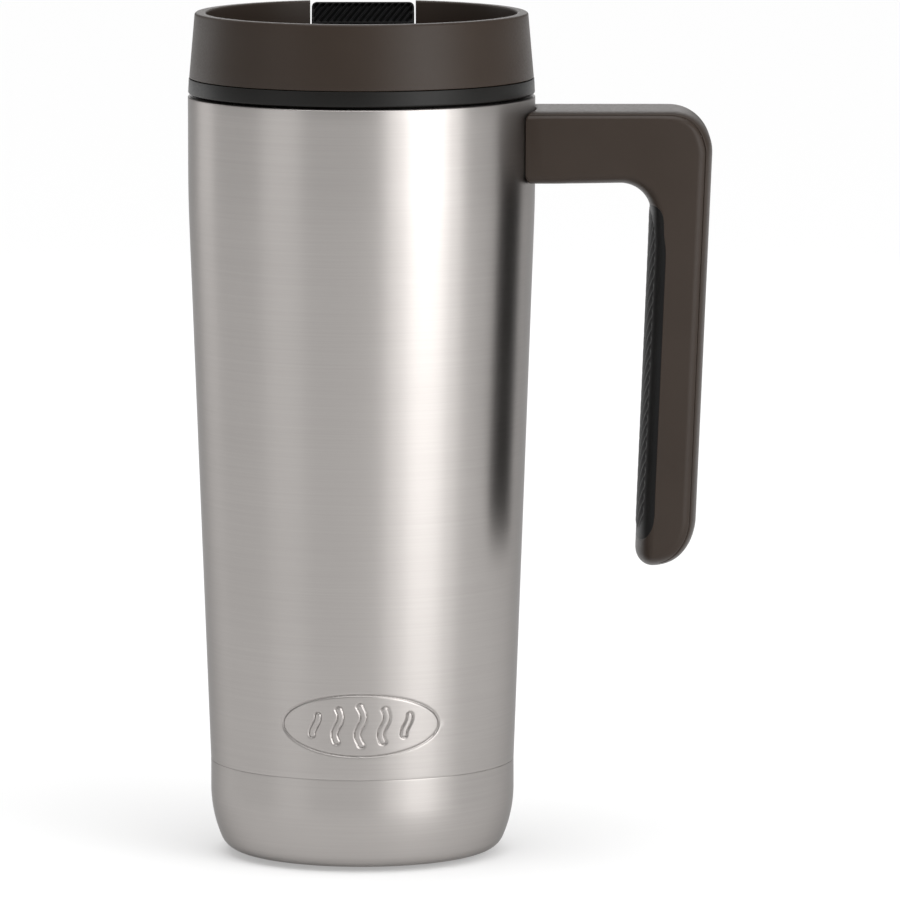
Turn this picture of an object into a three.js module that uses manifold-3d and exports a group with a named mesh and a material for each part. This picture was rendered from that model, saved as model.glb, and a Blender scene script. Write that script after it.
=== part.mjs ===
// Insulated travel mug: a vacuum-walled steel mug with a screw-in lid, a rocking drink lever and a
// J-shaped handle. Millimetres, +Z up. The origin is the centre of the base on the table plane,
// the handle points along +X and the drinker is on the -Y side.
import * as THREE from "three";
import { mergeVertices } from "three/addons/utils/BufferGeometryUtils.js";
import Module from "manifold-3d";

const wasm = await Module();
wasm.setup();

// ---- Driving dimensions ----------------------------------------------------------------------
const GAP = 0.3; // clearance kept between separate pieces that touch
const ROUND = 48; // facets round the mug's axis
const CUT_Z = [160, 215]; // heights between which a cut goes right through the lid
const BEYOND = 50; // a distance from the axis that is outside the mug's wall

// Mug body
const BODY_R = 42; // outer radius of the straight upper part
const BASE_R = 36.9; // outer radius below the seam
const SEAM_Z = 23; // joint between the outer shell and the base cup
const TAPER_TOP_Z = 160; // the taper ends here and the body runs straight
const LIP_Z = 184.7; // top of the steel lip
const WALL = 0.6; // steel wall thickness
const BASE_SOFT_R = 31; // the side curves in gently first
const BASE_SOFT_TURN = 23.2; // degrees
const BASE_CORNER_R = 5; // then turns under
const BASE_RISE = 0.85; // height of the underside above the foot ring's sole
const FOOT_R = 21.5; // outer edge of the foot ring
const RECESS_R = 19.5; // inner edge of the foot ring, round the recess
const RECESS_Z = 1.9; // roof of the recess
const DISC = { r: 18.3, z0: 0.8, z1: 1.6 }; // cover disc in the recess
const EVACUATION_R = 2.6; // hole that the vacuum is drawn through
const GETTER = { r: 4.2, z0: 5, z1: 7.1 };
const NECK_R = 38.2; // inner radius of the neck
const LINER_R = 36.2; // inner radius of the liner just under the neck
const LINER_FLOOR_Z = 8;
const SHOULDER_Z = [168.5, 171.4]; // cone between the liner and the neck
const TAPER = (BODY_R - BASE_R) / (TAPER_TOP_Z - SEAM_Z);

// Screw thread between neck and lid: two starts, right hand
const LEAD = 8;
const STARTS = 2;
const THREAD_TURNS = 0.75;
const THREAD_Z = 173.2; // lowest centreline point of the neck's thread

// Lid
const LID_BOTTOM_Z = 167.5;
const PLUG_R = 36.7;
const GROOVE_R = 35; // floor of the gasket's groove
const FLANGE_R = 41.93;
const FLANGE_Z = 185.4;
const RING_Z = 189.1; // bottom of the drinking ring
const RIM_Z = 204.9; // top of the drinking ring
const RING_R = 41.66; // outer radius of the ring at its bottom
const RING_INNER_R = 37.6;
const RING_TAPER = 0.0877;
const DECK_Z = 194.6; // upper face of the lid's deck
const DECK_THICK = 2.4;
const CAVITY_R = 34;
const NOTCH_HALF = 12.95; // half width of the notch in the ring for the thumb tab
const NOTCH_Z = 190.1;
const POCKET_HALF = 13.5; // well under the lever's tail
const POCKET_Y = 8;
const POCKET_FLOOR_Z = 189.1;
const DRINK_HOLE = { y: -27, halfX: 7.3, halfY: 3 };
const VENT_HOLE = { y: -12, r: 1.2 };
const TUBE_WALL = 1.5; // tubes under the two holes
const EAR = { inner: 13.2, outer: 16.2, r: 3 }; // lugs that hold the lever's pin
const GASKET = { z0: 169.5, z1: 171.7, r: 37, lip: 0.6 };
const PLATE_Z = [167.7, 169.5]; // closing plate under the lid
const STOPPER_LIP = [DECK_Z + 0.2, DECK_Z + 0.7];
const DRINK_STEM = { r: 1.7, z: 197.3 };
const VENT_STEM = { r: 1, z: 196.9 };

// Rocking lever
const PIVOT = { y: 4, z: 197.4 };
const PIN_R = 1.45;
const LEVER_HALF = 12.6;
const LEVER_UNDER_Z = 195.5;
const LEVER_TOP_Z = 199.3;
const HUB_FLAT = 5; // half length of the level top over the pivot
const HUB_R = 2.5;
const NOSE = { y: -32.5, half: 10, topZ: 198.6 }; // the end over the drink hole
const TAIL_UNDER = [[33, 196.4], [36, 197.2], [42, 198.3]]; // rises towards the back
const TAIL_TOP_BACK = [42, 203.4];
const TAIL_TOP_FRONT = [38.4, 204.35];
const TAIL_FOOT = [33, 198.9]; // top of the arm in front of the thumb face

// Handle, in the XZ plane
const HANDLE_HALF = 15; // half of the handle's width along Y
const HANDLE_EDGE = 3.2; // rounding of the handle's long edges
const COVER_THICK = 2;
const COVER_END = { body: -86, cover: -84 }; // where each ends on the tip's ellipse, in degrees
const ARM_TOP_Z = 181.8;
const ARM_UNDER_Z = 164.25;
const GRIP_OUTER_X = 84.66; // outer face where the outer bend ends
const GRIP_LEAN = 0.0415; // the grip leans in by this much for each mm downwards
const OUTER_BEND_R = 10;
const INNER_BEND_R = 7.5;
const TIP = { x: 70.4, z: 83.5, rx: 10.6, rz: 12.8 }; // quarter ellipse outside the tip
const HEEL = { x: 70.4, z: 74.6, rx: 3.95, rz: 3.9 }; // quarter ellipse inside the tip
const GRIP_THICK = 3.9;
const GRIP_Z = [78.5, 158];
const HANDLE_ROOT_X = 30; // the handle is drawn from here and trimmed to fit the mug
const SCREW_X = [49, 56];
const SCREW = { headR: 2.8, shankR: 1.35, length: 7.2, headHigh: 1.3, holeR: 1.7, sinkR: 3.1 };

// ---- Finishes ----------------------------------------------------------------------------------
const finish = (color, roughness, metalness) =>
  new THREE.MeshStandardMaterial({ color, roughness, metalness });
const BRUSHED_STEEL = finish(0xb8b2ad, 0.34, 1);
const PLAIN_STEEL = finish(0xa8a5a2, 0.3, 1);
const BROWN_PLASTIC = finish(0x463c37, 0.5, 0);
const BLACK_PLASTIC = finish(0x2e2c2b, 0.45, 0);
const BLACK_RUBBER = finish(0x1b1a1a, 0.75, 0);
const CLEAR_GREY_SILICONE = finish(0x8c8a87, 0.6, 0);

// ---- Geometry helpers --------------------------------------------------------------------------
// Closed solid of a geometry, for joining and cutting.
function solidOf(geometry) {
  const bare = new THREE.BufferGeometry().setAttribute(
    "position",
    (geometry.index ? geometry.toNonIndexed() : geometry).getAttribute("position"),
  );
  const merged = mergeVertices(bare, 1e-4);
  const index = merged.index.array;
  const kept = [];
  for (let i = 0; i < index.length; i += 3) {
    const [a, b, c] = index.subarray(i, i + 3);
    if (a !== b && b !== c && a !== c) kept.push(a, b, c);
  }
  const vertProperties = new Float32Array(merged.attributes.position.array);
  return new wasm.Manifold(
    new wasm.Mesh({ numProp: 3, vertProperties, triVerts: new Uint32Array(kept) }),
  );
}

function geometryOf(solid) {
  const mesh = solid.getMesh();
  return new THREE.BufferGeometry()
    .setAttribute("position", new THREE.BufferAttribute(mesh.vertProperties, 3))
    .setIndex(new THREE.BufferAttribute(mesh.triVerts, 1));
}

const cut = (geometry, ...tools) =>
  geometryOf(tools.reduce((solid, tool) => solid.subtract(solidOf(tool)), solidOf(geometry)));
const join = (...geometries) =>
  geometryOf(geometries.map(solidOf).reduce((sum, solid) => sum.add(solid)));
const common = (a, b) => geometryOf(solidOf(a).intersect(solidOf(b)));

// Turns a profile of [radius, height] points round Z. Profiles run anticlockwise, outer side
// upwards; one that doesn't start on the axis closes on itself.
function revolve(profile, segments = ROUND) {
  const points = profile.map(([r, z]) => new THREE.Vector2(r, z));
  if (profile[0][0] > 0) points.push(points[0].clone());
  return new THREE.LatheGeometry(points, segments).rotateX(Math.PI / 2);
}

// Points of an elliptical arc, angles in degrees.
function arc(cx, cy, rx, ry, from, to, steps) {
  return Array.from({ length: steps + 1 }, (_, i) => {
    const a = THREE.MathUtils.degToRad(from + ((to - from) * i) / steps);
    return [cx + rx * Math.cos(a), cy + ry * Math.sin(a)];
  });
}

const X = new THREE.Vector3(1, 0, 0);
const Y = new THREE.Vector3(0, 1, 0);
const Z = new THREE.Vector3(0, 0, 1);
const PLANES = {
  XY: new THREE.Matrix4().makeBasis(X, Y, Z),
  XZ: new THREE.Matrix4().makeBasis(X, Z, Y.clone().negate()),
  YZ: new THREE.Matrix4().makeBasis(Y, Z, X),
};

// Extrudes an outline drawn in a plane, from one distance to another along the plane's normal,
// with an optional bevel that stays inside the outline.
function extrude(plane, outline, from, to, bevel = 0) {
  const shape = new THREE.Shape(outline.map(([a, b]) => new THREE.Vector2(a, b)));
  return new THREE.ExtrudeGeometry(shape, {
    depth: to - from - 2 * bevel,
    bevelEnabled: bevel > 0,
    bevelThickness: bevel,
    bevelSize: bevel,
    bevelOffset: -bevel,
    bevelSegments: 2,
  })
    .translate(0, 0, from + bevel)
    .applyMatrix4(PLANES[plane]);
}

const rectangle = (a0, b0, a1, b1) => [[a0, b0], [a1, b0], [a1, b1], [a0, b1]];
const box = (x0, y0, z0, x1, y1, z1) => extrude("XY", rectangle(x0, y0, x1, y1), z0, z1);
const rod = (plane, a, b, radius, from, to, segments = 20) =>
  extrude(plane, arc(a, b, radius, radius, 0, 360 - 360 / segments, segments - 1), from, to);

// A slot outline: a rectangle with round ends, longer along its first axis.
function stadium(a, b, halfA, halfB, steps = 6) {
  const flat = halfA - halfB;
  return [
    ...arc(a + flat, b, halfB, halfB, -90, 90, steps),
    ...arc(a - flat, b, halfB, halfB, 90, 270, steps),
  ];
}

// One start of a screw thread: a ridge of trapezoid section that fades out at both ends.
function threadRidge(rootR, crestR, z0, startAngle) {
  const steps = Math.round(36 * THREAD_TURNS);
  const rootHalf = 1.1;
  const crestHalf = 0.5;
  const fadeSteps = 3;
  const positions = [];
  const faces = [];
  for (let i = 0; i <= steps; i++) {
    const turn = (THREAD_TURNS * i) / steps;
    const angle = startAngle + turn * 2 * Math.PI;
    const z = z0 + LEAD * turn;
    const rise = Math.min(1, (Math.min(i, steps - i) + 0.6) / fadeSteps);
    const crest = rootR + (crestR - rootR) * rise;
    for (const [r, dz] of [[rootR, -rootHalf], [crest, -crestHalf], [crest, crestHalf], [rootR, rootHalf]])
      positions.push(r * Math.cos(angle), r * Math.sin(angle), z + dz);
  }
  for (let i = 0; i < steps; i++)
    for (let k = 0; k < 4; k++) {
      const a = 4 * i + k;
      const b = 4 * i + ((k + 1) % 4);
      faces.push(a, a + 4, b, b, a + 4, b + 4);
    }
  const last = 4 * steps;
  faces.push(0, 1, 2, 0, 2, 3, last, last + 2, last + 1, last, last + 3, last + 2);
  if (crestR < rootR) faces.reverse(); // an inward ridge turns its section inside out
  return new THREE.BufferGeometry()
    .setAttribute("position", new THREE.Float32BufferAttribute(positions, 3))
    .setIndex(faces);
}

const threadStarts = (rootR, crestR, z0) =>
  Array.from({ length: STARTS }, (_, i) =>
    threadRidge(rootR, crestR, z0, (i * 2 * Math.PI) / STARTS),
  );

// ---- Assembly ----------------------------------------------------------------------------------
const mug = new THREE.Group();
function place(name, geometry, material) {
  const mesh = new THREE.Mesh(geometry, material);
  mesh.name = name;
  mug.add(mesh);
}

// ---- Vacuum body -------------------------------------------------------------------------------
function outerShell() {
  const edge = 0.8; // rounding of the lip
  const lipInner = NECK_R + WALL + GAP;
  return revolve([
    [BASE_R, SEAM_Z + GAP / 2],
    [BODY_R, TAPER_TOP_Z],
    ...arc(BODY_R - edge, LIP_Z - edge, edge, edge, 0, 90, 3),
    [lipInner, LIP_Z],
    [lipInner, LIP_Z - WALL],
    ...arc(BODY_R - edge, LIP_Z - edge, edge - WALL, edge - WALL, 90, 0, 3),
    [BODY_R - WALL, TAPER_TOP_Z],
    [BASE_R - WALL, SEAM_Z + GAP / 2],
  ]);
}

// The base's rounded corner from the side to the underside, moved inwards by inset.
function baseCorner(inset) {
  const turn = THREE.MathUtils.degToRad(BASE_SOFT_TURN);
  const drop = (BASE_SOFT_R - BASE_CORNER_R) * Math.sin(turn);
  const softR = BASE_SOFT_R - inset;
  const cornerR = BASE_CORNER_R - inset;
  const cornerX = BASE_R - BASE_SOFT_R + (BASE_SOFT_R - BASE_CORNER_R) * Math.cos(turn);
  const cornerZ = BASE_RISE + BASE_CORNER_R;
  return [
    ...arc(BASE_R - BASE_SOFT_R, cornerZ + drop, softR, softR, 0, -BASE_SOFT_TURN, 3),
    ...arc(cornerX, cornerZ, cornerR, cornerR, -BASE_SOFT_TURN, -90, 5).slice(1),
  ];
}

function baseCup() {
  const wall = 0.7;
  const spigotR = BASE_R - WALL - GAP + 0.05; // ring that plugs into the shell at the seam
  const spigotHeight = 3;
  const lap = 0.7; // the spigot overlaps the cup's wall by this much
  const slope = 0.5; // draft of the foot ring's sides
  const top = SEAM_Z - GAP / 2;
  return revolve([
    [EVACUATION_R, RECESS_Z],
    [RECESS_R - slope, RECESS_Z],
    [RECESS_R, 0],
    [FOOT_R, 0],
    [FOOT_R + slope, BASE_RISE],
    ...baseCorner(0).reverse(),
    [BASE_R, top],
    [spigotR, top],
    [spigotR, top + spigotHeight],
    [spigotR - WALL, top + spigotHeight],
    [spigotR - WALL, top - lap],
    [BASE_R - wall, top - lap - slope],
    ...baseCorner(wall),
    [FOOT_R + slope - wall, BASE_RISE + wall],
    [FOOT_R + slope - wall, RECESS_Z + wall],
    [EVACUATION_R, RECESS_Z + wall],
  ]);
}

function innerLiner() {
  const cornerZ = 14;
  const corner = cornerZ - LINER_FLOOR_Z;
  const lowR = LINER_R - TAPER * (SHOULDER_Z[0] - cornerZ);
  const cornerX = lowR - corner;
  const liner = revolve([
    [0, LINER_FLOOR_Z - WALL],
    ...arc(cornerX, cornerZ, corner + WALL, corner + WALL, -90, 0, 5),
    [LINER_R + WALL, SHOULDER_Z[0] - 0.4],
    [NECK_R + WALL, SHOULDER_Z[1] - 0.4],
    [NECK_R + WALL, LIP_Z],
    [NECK_R, LIP_Z],
    [NECK_R, SHOULDER_Z[1]],
    [LINER_R, SHOULDER_Z[0]],
    ...arc(cornerX, cornerZ, corner, corner, 0, -90, 5),
    [0, LINER_FLOOR_Z],
  ]);
  return join(liner, ...threadStarts(NECK_R + 0.2, NECK_R - 0.9, THREAD_Z));
}

place("outer_shell", outerShell(), BRUSHED_STEEL);
place("base_cup", baseCup(), BRUSHED_STEEL);
const disc = (radius, z0, z1, segments) =>
  revolve([[0, z0], [radius, z0], [radius, z1], [0, z1]], segments);
place("base_disc", disc(DISC.r, DISC.z0, DISC.z1, ROUND), PLAIN_STEEL);
place("vacuum_seal", disc(EVACUATION_R - GAP, RECESS_Z, RECESS_Z + 1.1, 16), PLAIN_STEEL);
place("getter", disc(GETTER.r, GETTER.z0, GETTER.z1, 20), PLAIN_STEEL);
place("inner_liner", innerLiner(), PLAIN_STEEL);

// ---- Handle ------------------------------------------------------------------------------------
// The handle's outer line, from the mug over the bend and down to the tip, moved inwards by inset.
function handleOuterLine(inset, endAngle = -90) {
  const lean = THREE.MathUtils.radToDeg(Math.atan(GRIP_LEAN));
  const bendX = GRIP_OUTER_X - OUTER_BEND_R;
  const bendZ = ARM_TOP_Z - OUTER_BEND_R;
  const bendR = OUTER_BEND_R - inset;
  return [
    [HANDLE_ROOT_X, ARM_TOP_Z - inset],
    ...arc(bendX, bendZ, bendR, bendR, 90, -lean, 6),
    ...arc(TIP.x, TIP.z, TIP.rx - inset, TIP.rz - inset, -lean, endAngle, 7),
  ];
}

// The handle's inner line, from the tip up the grip and back along the arm to the mug.
function handleInnerLine() {
  const bendZ = ARM_UNDER_Z - INNER_BEND_R;
  const bendX = gripInnerX(bendZ) - INNER_BEND_R;
  return [
    ...arc(HEEL.x, HEEL.z, HEEL.rx, HEEL.rz, 270, 180, 4).slice(1),
    ...arc(bendX, bendZ, INNER_BEND_R, INNER_BEND_R, 0, 90, 5),
    [HANDLE_ROOT_X, ARM_UNDER_Z],
  ];
}

const gripInnerX = (z) => HEEL.x - HEEL.rx + GRIP_LEAN * (z - HEEL.z);
const shellClearance = () => {
  const [low, high] = [ARM_UNDER_Z - 10, ARM_TOP_Z + 10];
  return revolve([[0, low], [BODY_R + GAP, low], [BODY_R + GAP, high], [0, high]]);
};
const TONGUE = { x: 60, halfY: 6, z0: 169.8, z1: 177, wall: 1.2 };
const PLATE = { r0: BODY_R + GAP, r1: BODY_R + 1.4, halfY: 10, z0: 167.5, z1: 179.3 };

function handleBracket() {
  const plate = common(
    revolve([
      [PLATE.r0, PLATE.z0],
      [PLATE.r1, PLATE.z0],
      [PLATE.r1, PLATE.z1],
      [PLATE.r0, PLATE.z1],
    ]),
    box(HANDLE_ROOT_X, -PLATE.halfY, PLATE.z0 - 1, BEYOND, PLATE.halfY, PLATE.z1 + 1),
  );
  const { x, halfY, z0, z1, wall } = TONGUE;
  const tube = cut(
    box(PLATE.r0 + 0.6, -halfY, z0, x, halfY, z1),
    box(PLATE.r0 + 2, -halfY + wall, z0 + wall, x + 1, halfY - wall, z1 - wall),
  );
  return cut(join(plate, tube), ...SCREW_X.map((sx) => rod("XY", sx, 0, SCREW.holeR, z1 - 2, z1 + 1, 14)));
}

// The whole handle in one, which its body, cover and grip are cut from.
function handleBlank() {
  const outline = [...handleOuterLine(0), ...handleInnerLine()];
  const whole = extrude("XZ", outline, -HANDLE_HALF, HANDLE_HALF, HANDLE_EDGE);
  return cut(whole, shellClearance());
}

function coverZone(thickness, endAngle) {
  const outline = [...handleOuterLine(-3, endAngle), ...handleOuterLine(thickness, endAngle).reverse()];
  return extrude("XZ", outline, -HANDLE_HALF - 1, HANDLE_HALF + 1);
}

function gripZone(gap) {
  const [low, high] = [GRIP_Z[0] - gap, GRIP_Z[1] + gap];
  const outside = 9; // the zone starts this far off the grip's surface
  const outline = [
    [gripInnerX(low) - outside, low],
    [gripInnerX(low) + GRIP_THICK + gap, low],
    [gripInnerX(high) + GRIP_THICK + gap, high],
    [gripInnerX(high) - outside, high],
  ];
  return extrude("XZ", outline, -HANDLE_HALF - 1, HANDLE_HALF + 1);
}

function handleBody() {
  const { x, halfY, z0, z1 } = TONGUE;
  const roofZ = ARM_TOP_Z - COVER_THICK;
  const [socketR, socketZ] = [PLATE.r1 + 0.4, PLATE.z0 - 0.4];
  const plateSocket = common(
    revolve([[BODY_R, socketZ], [socketR, socketZ], [socketR, roofZ + 1], [BODY_R, roofZ + 1]]),
    box(HANDLE_ROOT_X, -PLATE.halfY - 0.4, socketZ - 1, BEYOND, PLATE.halfY + 0.4, PLATE.z1 + 0.2),
  );
  return cut(
    handleBlank(),
    coverZone(COVER_THICK, COVER_END.body),
    gripZone(GAP),
    box(BODY_R, -halfY - 0.5, z0 - 0.5, x + 0.6, halfY + 0.5, z1 + 0.4),
    plateSocket,
    ...SCREW_X.flatMap((sx) => [
      rod("XY", sx, 0, SCREW.holeR, z1, roofZ + 1, 14),
      rod("XY", sx, 0, SCREW.sinkR, roofZ - SCREW.headHigh - 0.4, roofZ + 1, 16),
    ]),
  );
}

const handleCover = () => common(handleBlank(), coverZone(COVER_THICK - GAP, COVER_END.cover));
const handleGrip = () => common(handleBlank(), gripZone(0));

function handleScrew(x) {
  const headTop = ARM_TOP_Z - COVER_THICK - 0.1;
  return join(
    rod("XY", x, 0, SCREW.headR, headTop - SCREW.headHigh, headTop, 16),
    rod("XY", x, 0, SCREW.shankR, headTop - SCREW.length, headTop - 1, 12),
  );
}

place("handle_bracket", handleBracket(), PLAIN_STEEL);
place("handle_body", handleBody(), BROWN_PLASTIC);
place("handle_cover", handleCover(), BROWN_PLASTIC);
place("handle_grip", handleGrip(), BLACK_RUBBER);
SCREW_X.forEach((x, i) => place(`handle_screw_${i + 1}`, handleScrew(x), PLAIN_STEEL));

// ---- Lid ---------------------------------------------------------------------------------------
const ringOuterR = (z) => RING_R - RING_TAPER * (z - RING_Z);

function lidBody() {
  const deckUnder = DECK_Z - DECK_THICK;
  const deckR = RING_INNER_R - GAP;
  const flangeEdge = 0.6;
  const shell = revolve([
    [CAVITY_R, LID_BOTTOM_Z],
    [PLUG_R - 0.8, LID_BOTTOM_Z],
    [PLUG_R - 0.8, GASKET.z0 - GAP],
    [GROOVE_R, GASKET.z0 - GAP],
    [GROOVE_R, GASKET.z1 + GAP],
    [PLUG_R, GASKET.z1 + GAP],
    [PLUG_R, LIP_Z + GAP],
    [FLANGE_R - 1.9, LIP_Z + GAP],
    [FLANGE_R - 1.5, FLANGE_Z],
    [FLANGE_R - flangeEdge, FLANGE_Z],
    [FLANGE_R, FLANGE_Z + flangeEdge],
    [RING_R, RING_Z - 0.1],
    [deckR, RING_Z - 0.1],
    [deckR, DECK_Z],
    [0, DECK_Z],
    [0, deckUnder],
    [CAVITY_R, deckUnder],
  ]);
  const { y, halfX, halfY } = DRINK_HOLE;
  const tubeBottom = LID_BOTTOM_Z + 0.4;
  const tubWall = 1.8;
  const tubHalf = POCKET_HALF + tubWall;
  const tubFloor = POCKET_FLOOR_Z - 2;
  const tub = common(
    box(-tubHalf, POCKET_Y - tubWall, tubFloor, tubHalf, BODY_R, deckUnder + 1),
    rod("XY", 0, 0, CAVITY_R + 0.5, tubFloor, DECK_Z, ROUND),
  );
  const ears = [-1, 1].map((side) => {
    const [from, to] = [side * EAR.inner, side * EAR.outer].sort((p, q) => p - q);
    return join(
      rod("YZ", PIVOT.y, PIVOT.z, EAR.r, from, to),
      box(from, PIVOT.y - EAR.r, DECK_Z - 0.5, to, PIVOT.y + EAR.r, PIVOT.z),
    );
  });
  const solid = join(
    shell,
    extrude("XY", stadium(0, y, halfX + TUBE_WALL, halfY + TUBE_WALL), tubeBottom, deckUnder + 1),
    rod("XY", 0, VENT_HOLE.y, VENT_HOLE.r + TUBE_WALL, tubeBottom, deckUnder + 1, 16),
    tub,
    ...ears,
    ...threadStarts(PLUG_R - 0.2, PLUG_R + 1.1, THREAD_Z + LEAD / STARTS / 2),
  );
  return cut(
    solid,
    extrude("XY", stadium(0, y, halfX, halfY), ...CUT_Z),
    rod("XY", 0, VENT_HOLE.y, VENT_HOLE.r, ...CUT_Z, 12),
    box(-POCKET_HALF, POCKET_Y, POCKET_FLOOR_Z, POCKET_HALF, BEYOND, CUT_Z[1]),
    rod("YZ", PIVOT.y, PIVOT.z, PIN_R + 0.12, -20, 20, 16),
  );
}

function lidRing() {
  const ring = revolve([
    [RING_INNER_R, RING_Z + 0.1],
    [ringOuterR(RING_Z), RING_Z + 0.1],
    [ringOuterR(RIM_Z - 1), RIM_Z - 1],
    [ringOuterR(RIM_Z) - 0.3, RIM_Z - 0.3],
    [ringOuterR(RIM_Z) - 0.9, RIM_Z],
    [RING_INNER_R + 0.7, RIM_Z],
    [RING_INNER_R + 0.2, RIM_Z - 0.3],
    [RING_INNER_R, RIM_Z - 0.9],
  ]);
  return cut(ring, box(-NOTCH_HALF, BEYOND / 2, NOTCH_Z, NOTCH_HALF, BEYOND, CUT_Z[1]));
}

function lidGasket() {
  const { z0, z1, r, lip } = GASKET;
  const inner = GROOVE_R + GAP;
  return revolve([
    [inner, z0],
    [r - lip * 0.7, z0],
    [r, z0 + lip],
    [r, z1 - lip],
    [r - lip * 0.7, z1],
    [inner, z1],
  ]);
}

function lidBasePlate() {
  const { y, halfX, halfY } = DRINK_HOLE;
  const clear = TUBE_WALL + GAP;
  return cut(
    disc(CAVITY_R - GAP, ...PLATE_Z, ROUND),
    extrude("XY", stadium(0, y, halfX + clear, halfY + clear), ...CUT_Z),
    rod("XY", 0, VENT_HOLE.y, VENT_HOLE.r + clear, ...CUT_Z, 16),
  );
}

place("lid_gasket", lidGasket(), CLEAR_GREY_SILICONE);
place("lid_body", lidBody(), BLACK_PLASTIC);
place("lid_ring", lidRing(), BROWN_PLASTIC);
place("lid_base_plate", lidBasePlate(), BLACK_PLASTIC);
const pinHalf = EAR.outer - 0.4;
place("lever_pin", rod("YZ", PIVOT.y, PIVOT.z, PIN_R, -pinHalf, pinHalf, 16), PLAIN_STEEL);

// ---- Lever -------------------------------------------------------------------------------------
// The thumb face: a line in the YZ plane from its foot to its top, and its thickness behind.
const PAD = { foot: [34.5, 199.4], top: [37.4, 204.6], thick: 1.2 };
const padLength = Math.hypot(PAD.top[0] - PAD.foot[0], PAD.top[1] - PAD.foot[1]);
const padBack = [(PAD.top[1] - PAD.foot[1]) / padLength, -(PAD.top[0] - PAD.foot[0]) / padLength];
const behind = ([y, z], depth) => [y + padBack[0] * depth, z + padBack[1] * depth];

function leverArm() {
  const seat = PAD.thick + 0.2;
  const side = [
    [NOSE.y, LEVER_UNDER_Z + 0.5],
    [NOSE.y + 0.5, LEVER_UNDER_Z],
    [POCKET_Y, LEVER_UNDER_Z],
    ...TAIL_UNDER,
    TAIL_TOP_BACK,
    TAIL_TOP_FRONT,
    behind(PAD.top, seat),
    behind(PAD.foot, seat),
    TAIL_FOOT,
    [PIVOT.y + HUB_FLAT, LEVER_TOP_Z],
    [PIVOT.y - HUB_FLAT, LEVER_TOP_Z],
    [NOSE.y + 2.5, NOSE.topZ],
    [NOSE.y, NOSE.topZ - 1],
  ];
  const noseLength = 6.5;
  const shoulderY = PIVOT.y - 6; // full width from here back
  const waist = { half: 11, y: -8 };
  const farY = 45; // past the ring's outside
  const plan = [
    ...arc(0, NOSE.y + noseLength, NOSE.half, noseLength, 180, 360, 10),
    [waist.half, waist.y],
    [LEVER_HALF, shoulderY],
    [LEVER_HALF, farY],
    [-LEVER_HALF, farY],
    [-LEVER_HALF, shoulderY],
    [-waist.half, waist.y],
  ];
  const envelope = revolve([
    [0, RING_Z],
    [ringOuterR(RING_Z) - 0.1, RING_Z],
    [ringOuterR(RIM_Z - 1) - 0.1, RIM_Z - 1],
    [ringOuterR(RIM_Z) - 0.8, RIM_Z],
    [0, RIM_Z],
  ]);
  const hub = rod("YZ", PIVOT.y, PIVOT.z, HUB_R, -LEVER_HALF, LEVER_HALF);
  const blank = common(
    common(extrude("YZ", side, -LEVER_HALF, LEVER_HALF), extrude("XY", plan, ...CUT_Z)),
    envelope,
  );
  return cut(
    join(blank, hub),
    rod("YZ", PIVOT.y, PIVOT.z, PIN_R + 0.15, -20, 20, 16),
    rod("XY", 0, DRINK_HOLE.y, DRINK_STEM.r + GAP, RING_Z, DRINK_STEM.z + GAP, 14),
    rod("XY", 0, VENT_HOLE.y, VENT_STEM.r + GAP, RING_Z, VENT_STEM.z + GAP, 12),
  );
}

function thumbPad() {
  const outline = [PAD.foot, behind(PAD.foot, PAD.thick), behind(PAD.top, PAD.thick), PAD.top];
  return extrude("YZ", outline, -LEVER_HALF + 0.4, LEVER_HALF - 0.4);
}

// The stoppers' lips lie on the deck; each has a plug below and a stem that the lever holds.
function drinkStopper() {
  const { y, halfX, halfY } = DRINK_HOLE;
  const side = 0.4;
  return join(
    extrude("XY", stadium(0, y, halfX - side, halfY - side), DECK_Z - 1.8, STOPPER_LIP[1]),
    extrude("XY", stadium(0, y, halfX + 0.9, halfY + 0.9), ...STOPPER_LIP),
    rod("XY", 0, y, DRINK_STEM.r, STOPPER_LIP[0], DRINK_STEM.z, 14),
  );
}

function ventStopper() {
  const { y, r } = VENT_HOLE;
  return join(
    rod("XY", 0, y, r - 0.3, DECK_Z - 1.1, STOPPER_LIP[1], 12),
    rod("XY", 0, y, 2 * r, ...STOPPER_LIP, 16),
    rod("XY", 0, y, VENT_STEM.r, STOPPER_LIP[0], VENT_STEM.z, 12),
  );
}

place("lever", leverArm(), BLACK_PLASTIC);
place("thumb_pad", thumbPad(), BLACK_RUBBER);
place("drink_stopper", drinkStopper(), CLEAR_GREY_SILICONE);
place("vent_stopper", ventStopper(), CLEAR_GREY_SILICONE);

export default mug;
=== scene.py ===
import math

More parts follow.
